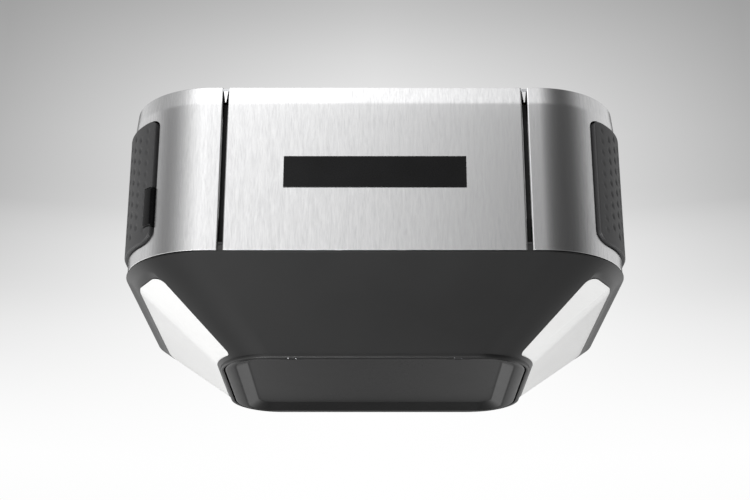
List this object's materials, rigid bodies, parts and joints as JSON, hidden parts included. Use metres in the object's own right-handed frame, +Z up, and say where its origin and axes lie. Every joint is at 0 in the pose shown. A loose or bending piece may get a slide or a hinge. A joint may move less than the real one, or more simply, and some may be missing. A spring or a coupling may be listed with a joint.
{
  "type": "garage door opener",
  "caption": "Ceiling-hung garage door opener head: steel band, tapered dark lower housing, wraparound side lights, hinged bottom door, worm-geared motor inside.",
  "frame": {"origin": "centre of the top plate's upper face, where the hanger brackets bolt on", "axes": "+Z up, +X to the right, badge side toward -Y"},
  "size_m": [0.386, 0.3138, 0.2149],
  "materials": {
    "plated_steel": "zinc plated",
    "brushed_panel": "brushed, vertical grain",
    "black_seal": "matte",
    "grip_plastic": "dimpled",
    "gloss_black": "gloss",
    "charcoal_plastic": "satin, fine texture",
    "lens_white": "frosted",
    "white_board": "white mask",
    "led_yellow": "phosphor",
    "door_plastic": "satin",
    "bright_steel": "ground",
    "black_plastic": "satin",
    "battery_case": "satin",
    "red_wire": "satin",
    "cast_alloy": "as cast",
    "bronze": "sintered",
    "natural_nylon": "moulded",
    "blackened_steel": "black oxide",
    "brown_resin": "moulded",
    "core_steel": "laminated",
    "copper": "enamelled",
    "green_board": "solder mask",
    "pale_plastic": "moulded",
    "grey_key": "satin",
    "yellow_key": "gloss",
    "winding_tape": "taped",
    "black_wire": "satin"
  },
  "bodies": {
    "chassis": {"top_chassis": "plated_steel", "front_panel": "brushed_panel", "rear_panel": "brushed_panel", "left_cover": "brushed_panel", "right_cover": "brushed_panel", "panel_seals": "black_seal", "left_grip": "grip_plastic", "right_grip": "grip_plastic", "badge_plate": "gloss_black", "lower_housing": "charcoal_plastic", "left_lens": "lens_white", "right_lens": "lens_white", "left_led_board": "white_board", "right_led_board": "white_board", "leds": "led_yellow", "hinge_pins": "bright_steel", "inner_deck": "black_plastic", "battery": "battery_case", "battery_retainer": "plated_steel", "battery_leads": "red_wire", "gear_case": "cast_alloy", "gear_case_cover": "cast_alloy", "shaft_bushings": "bronze", "motor_can": "plated_steel", "motor_front_bell": "cast_alloy", "motor_rear_bell": "cast_alloy", "motor_bearings": "bronze", "motor_magnets": "blackened_steel", "brush_holder": "brown_resin", "motor_strap": "plated_steel", "speed_sensor": "green_board", "isolators": "black_seal", "isolator_bolts": "plated_steel", "logic_board": "green_board", "logic_components": "black_plastic", "terminal_block": "pale_plastic", "control_bezel": "charcoal_plastic", "power_board": "green_board", "transformer_core": "core_steel", "transformer_coil": "winding_tape", "wire_harness": "black_wire", "cord_gland": "black_plastic", "weld_nuts": "plated_steel", "panel_screws": "plated_steel"},
    "rotor": {"motor_shaft": "bright_steel", "armature_core": "core_steel", "armature_windings": "copper", "commutator": "copper", "motor_worm": "bronze", "speed_cup": "black_plastic"},
    "output": {"worm_wheel": "natural_nylon", "output_shaft": "bright_steel", "drive_sprocket": "blackened_steel"},
    "door": {"bottom_door": "door_plastic", "door_latch": "door_plastic"},
    "up_key": {"up_button": "grey_key"},
    "down_key": {"down_button": "grey_key"},
    "adjust_key": {"adjust_button": "grey_key"},
    "learn_key": {"learn_button": "yellow_key"},
    "tab": {"release_tab": "gloss_black"}
  },
  "joints": [
    {"name": "motor_spin", "type": "hinge", "parent": "chassis", "child": "rotor", "pos_m": [0, -0.006, -0.045], "axis": [1, 0, 0], "continuous": true},
    {"name": "output_spin", "type": "hinge", "parent": "chassis", "child": "output", "pos_m": [0, 0.04, 0], "axis": [0, 0, 1], "continuous": true},
    {"name": "door_hinge", "type": "hinge", "parent": "chassis", "child": "door", "pos_m": [0, -0.0813, -0.192], "axis": [-1, 0, 0], "range_deg": [0, 85]},
    {"name": "up_press", "type": "slide", "parent": "chassis", "child": "up_key", "axis": [0, -1, 0], "range_m": [0, 0.0012], "stiffness_N_per_m": 300, "springref_m": -0.0005},
    {"name": "down_press", "type": "slide", "parent": "chassis", "child": "down_key", "axis": [0, -1, 0], "range_m": [0, 0.0012], "stiffness_N_per_m": 300, "springref_m": -0.0005},
    {"name": "adjust_press", "type": "slide", "parent": "chassis", "child": "adjust_key", "axis": [0, -1, 0], "range_m": [0, 0.0012], "stiffness_N_per_m": 300, "springref_m": -0.0005},
    {"name": "learn_press", "type": "slide", "parent": "chassis", "child": "learn_key", "axis": [0, -1, 0], "range_m": [0, 0.0012], "stiffness_N_per_m": 300, "springref_m": -0.0005},
    {"name": "tab_press", "type": "slide", "parent": "chassis", "child": "tab", "axis": [0.7009, 0.7133, 0], "range_m": [0, 0.0015], "stiffness_N_per_m": 300, "springref_m": -0.0005}
  ],
  "couplings": [
    {"joint": "output_spin", "follows": "motor_spin", "ratio": -0.03125}
  ]
}
